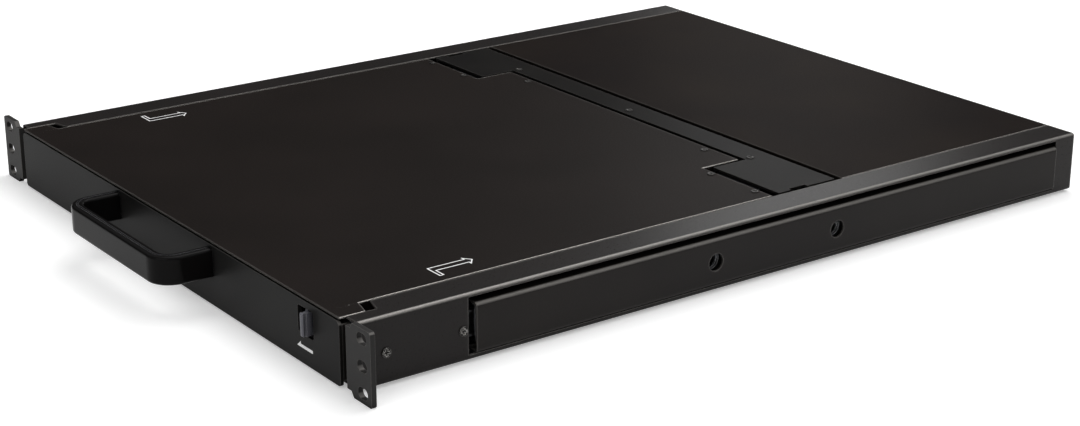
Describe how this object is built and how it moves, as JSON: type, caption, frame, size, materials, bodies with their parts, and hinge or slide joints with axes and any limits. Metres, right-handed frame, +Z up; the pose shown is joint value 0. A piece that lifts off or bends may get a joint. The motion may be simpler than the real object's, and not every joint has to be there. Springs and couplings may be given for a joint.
{
  "type": "rackmount lcd console drawer",
  "caption": "One-unit rack drawer, drawn shut: a folded steel chassis on ball slides holds a keyboard tray with a flip-up display lid, a pull handle, a slide latch and rack ears",
  "frame": {"origin": "the middle of the four rack slots, on the front face of the rack ears", "axes": "+X runs to the right seen from the front, +Y to the rear, +Z up; drawn with the drawer shut and the lid closed"},
  "size_m": [0.4826, 0.6161, 0.0436],
  "materials": {
    "chassis_base": "black powder coated folded steel tub, 1.2 mm",
    "rear_cover": "black powder coated steel sheet",
    "rear_panel": "black powder coated steel sheet with connector cut-outs",
    "rear_screws": "bright plated pan head screws",
    "rack_ear_left": "dark grey textured powder coat on 3.2 mm steel",
    "rack_ear_right": "dark grey textured powder coat on 3.2 mm steel",
    "ear_screws": "dark plated pan head screws",
    "base_screws": "dark plated pan head screws",
    "latch_striker": "zinc plated steel stop",
    "power_inlet": "black moulded plastic with flat blades",
    "switch_frame": "black moulded plastic frame",
    "switch_rocker": "black moulded rocker",
    "video_port": "nickel plated shell with two hexagon posts",
    "usb_port": "plated steel shell with a white tongue",
    "interface_board": "green circuit board with chips",
    "board_standoffs": "brass standoffs",
    "power_supply": "vented zinc plated steel box",
    "supply_board": "brown circuit board with coils and capacitors",
    "slide_outer_left": "rolled steel, dark zinc plated",
    "slide_outer_right": "rolled steel, dark zinc plated",
    "slide_spacers": "plain aluminium strips",
    "slide_middles": "rolled steel, zinc plated",
    "slide_inners": "rolled steel, zinc plated",
    "outer_ball_cages": "thin steel cages with steel balls",
    "inner_ball_cages": "thin steel cages with steel balls",
    "slide_screws": "bright plated screws",
    "drawer_tray": "black powder coated folded steel tray",
    "front_panel": "dark grey powder coat on 2 mm steel",
    "handle": "glossy black moulding with a groove along its top",
    "handle_screws": "bright plated screws",
    "latch_slider": "dark grey moulded slider",
    "latch_screws": "bright plated screws",
    "keyboard_deck": "black powder coated steel deck",
    "key_plate": "black moulded plate with key sleeves",
    "function_keys": "black moulded key caps with white legends",
    "main_keys": "black moulded key caps with white legends",
    "space_key": "black moulded key caps with white legends",
    "navigation_keys": "black moulded key caps with white legends",
    "number_keys": "black moulded key caps with white legends",
    "touchpad": "dark grey fine textured pad",
    "pad_button_left": "dark grey button",
    "pad_button_right": "dark grey button",
    "slide_release_left": "grey ribbed tab",
    "slide_release_right": "grey ribbed tab",
    "lid_bumpers": "soft black rubber",
    "hinge_cover": "dark grey moulded cover",
    "hinge_cover_screws": "black plated countersunk style screws",
    "hinge_housings": "dark plated steel barrels",
    "lid_cover": "warm black satin powder coat on 1.5 mm steel",
    "display_bezel": "black moulded frame",
    "lcd_glass": "dark screen with a matt front",
    "backlight_frame": "white light unit in a plated tray",
    "display_brackets": "zinc plated steel angles",
    "display_boards": "green circuit boards with chips",
    "hinge_leaves": "plated steel hinge leaves",
    "hinge_shafts": "ground steel shafts",
    "lid_screws": "black plated screws",
    "menu_button_1": "dark grey moulded button",
    "menu_button_2": "dark grey moulded button",
    "menu_button_3": "dark grey moulded button"
  },
  "bodies": {
    "chassis": {"chassis_base": "chassis_base", "rear_cover": "rear_cover", "rear_panel": "rear_panel", "rear_screws": "rear_screws", "rack_ear_left": "rack_ear_left", "rack_ear_right": "rack_ear_right", "ear_screws": "ear_screws", "base_screws": "base_screws", "latch_striker": "latch_striker", "power_inlet": "power_inlet", "switch_frame": "switch_frame", "video_port": "video_port", "usb_port": "usb_port", "interface_board": "interface_board", "board_standoffs": "board_standoffs", "power_supply": "power_supply", "supply_board": "supply_board", "slide_outer_left": "slide_outer_left", "slide_outer_right": "slide_outer_right", "slide_spacers": "slide_spacers"},
    "rocker": {"switch_rocker": "switch_rocker"},
    "rail_middle": {"slide_middles": "slide_middles"},
    "cage_outer": {"outer_ball_cages": "outer_ball_cages"},
    "cage_inner": {"inner_ball_cages": "inner_ball_cages"},
    "drawer": {"slide_inners": "slide_inners", "slide_screws": "slide_screws", "drawer_tray": "drawer_tray", "front_panel": "front_panel", "handle": "handle", "handle_screws": "handle_screws", "latch_screws": "latch_screws", "keyboard_deck": "keyboard_deck", "key_plate": "key_plate", "touchpad": "touchpad", "lid_bumpers": "lid_bumpers", "hinge_cover": "hinge_cover", "hinge_cover_screws": "hinge_cover_screws", "hinge_housings": "hinge_housings"},
    "latch": {"latch_slider": "latch_slider"},
    "release_left": {"slide_release_left": "slide_release_left"},
    "release_right": {"slide_release_right": "slide_release_right"},
    "function_key_group": {"function_keys": "function_keys"},
    "main_key_group": {"main_keys": "main_keys"},
    "space_bar": {"space_key": "space_key"},
    "navigation_key_group": {"navigation_keys": "navigation_keys"},
    "number_key_group": {"number_keys": "number_keys"},
    "left_pad_button": {"pad_button_left": "pad_button_left"},
    "right_pad_button": {"pad_button_right": "pad_button_right"},
    "lid": {"lid_cover": "lid_cover", "display_bezel": "display_bezel", "lcd_glass": "lcd_glass", "backlight_frame": "backlight_frame", "display_brackets": "display_brackets", "display_boards": "display_boards", "hinge_leaves": "hinge_leaves", "hinge_shafts": "hinge_shafts", "lid_screws": "lid_screws"},
    "menu_1": {"menu_button_1": "menu_button_1"},
    "menu_2": {"menu_button_2": "menu_button_2"},
    "menu_3": {"menu_button_3": "menu_button_3"}
  },
  "joints": [
    {"name": "drawer_slide", "type": "slide", "parent": "chassis", "child": "drawer", "axis": [0, -1, 0], "range_m": [0, 0.4]},
    {"name": "middle_slide", "type": "slide", "parent": "chassis", "child": "rail_middle", "axis": [0, -1, 0], "range_m": [0, 0.2]},
    {"name": "outer_cage_roll", "type": "slide", "parent": "chassis", "child": "cage_outer", "axis": [0, -1, 0], "range_m": [0, 0.1]},
    {"name": "inner_cage_roll", "type": "slide", "parent": "chassis", "child": "cage_inner", "axis": [0, -1, 0], "range_m": [0, 0.3]},
    {"name": "lid_hinge", "type": "hinge", "parent": "drawer", "child": "lid", "pos_m": [0, 0.336, 0.011], "axis": [-1, 0, 0], "range_deg": [0, 110]},
    {"name": "latch_slide", "type": "slide", "parent": "drawer", "child": "latch", "axis": [-1, 0, 0], "range_m": [0, 0.005], "stiffness_N_per_m": 150, "springref_m": -0.004},
    {"name": "release_left_slide", "type": "slide", "parent": "drawer", "child": "release_left", "axis": [0, 1, 0], "range_m": [0, 0.006], "stiffness_N_per_m": 150, "springref_m": -0.004},
    {"name": "release_right_slide", "type": "slide", "parent": "drawer", "child": "release_right", "axis": [0, 1, 0], "range_m": [0, 0.006], "stiffness_N_per_m": 150, "springref_m": -0.004},
    {"name": "rocker_tilt", "type": "hinge", "parent": "chassis", "child": "rocker", "pos_m": [-0.105, 0.5726, -0.0026], "axis": [1, 0, 0], "range_deg": [0, 20]},
    {"name": "function_keys_press", "type": "slide", "parent": "drawer", "child": "function_key_group", "axis": [0, 0, -1], "range_m": [0, 0.0022], "stiffness_N_per_m": 600, "springref_m": -0.003},
    {"name": "main_keys_press", "type": "slide", "parent": "drawer", "child": "main_key_group", "axis": [0, 0, -1], "range_m": [0, 0.0022], "stiffness_N_per_m": 2400, "springref_m": -0.003},
    {"name": "space_key_press", "type": "slide", "parent": "drawer", "child": "space_bar", "axis": [0, 0, -1], "range_m": [0, 0.0022], "stiffness_N_per_m": 120, "springref_m": -0.003},
    {"name": "navigation_keys_press", "type": "slide", "parent": "drawer", "child": "navigation_key_group", "axis": [0, 0, -1], "range_m": [0, 0.0022], "stiffness_N_per_m": 400, "springref_m": -0.003},
    {"name": "number_keys_press", "type": "slide", "parent": "drawer", "child": "number_key_group", "axis": [0, 0, -1], "range_m": [0, 0.0022], "stiffness_N_per_m": 1000, "springref_m": -0.003},
    {"name": "left_pad_button_press", "type": "slide", "parent": "drawer", "child": "left_pad_button", "axis": [0, 0, -1], "range_m": [0, 0.0008], "stiffness_N_per_m": 200, "springref_m": -0.0015},
    {"name": "right_pad_button_press", "type": "slide", "parent": "drawer", "child": "right_pad_button", "axis": [0, 0, -1], "range_m": [0, 0.0008], "stiffness_N_per_m": 200, "springref_m": -0.0015},
    {"name": "menu_button_1_press", "type": "slide", "parent": "lid", "child": "menu_1", "axis": [0, 0, 1], "range_m": [0, 0.0008], "stiffness_N_per_m": 100, "springref_m": -0.0012},
    {"name": "menu_button_2_press", "type": "slide", "parent": "lid", "child": "menu_2", "axis": [0, 0, 1], "range_m": [0, 0.0008], "stiffness_N_per_m": 100, "springref_m": -0.0012},
    {"name": "menu_button_3_press", "type": "slide", "parent": "lid", "child": "menu_3", "axis": [0, 0, 1], "range_m": [0, 0.0008], "stiffness_N_per_m": 100, "springref_m": -0.0012}
  ],
  "couplings": [
    {"joint": "middle_slide", "follows": "drawer_slide", "ratio": 0.5},
    {"joint": "outer_cage_roll", "follows": "drawer_slide", "ratio": 0.25},
    {"joint": "inner_cage_roll", "follows": "drawer_slide", "ratio": 0.75}
  ]
}
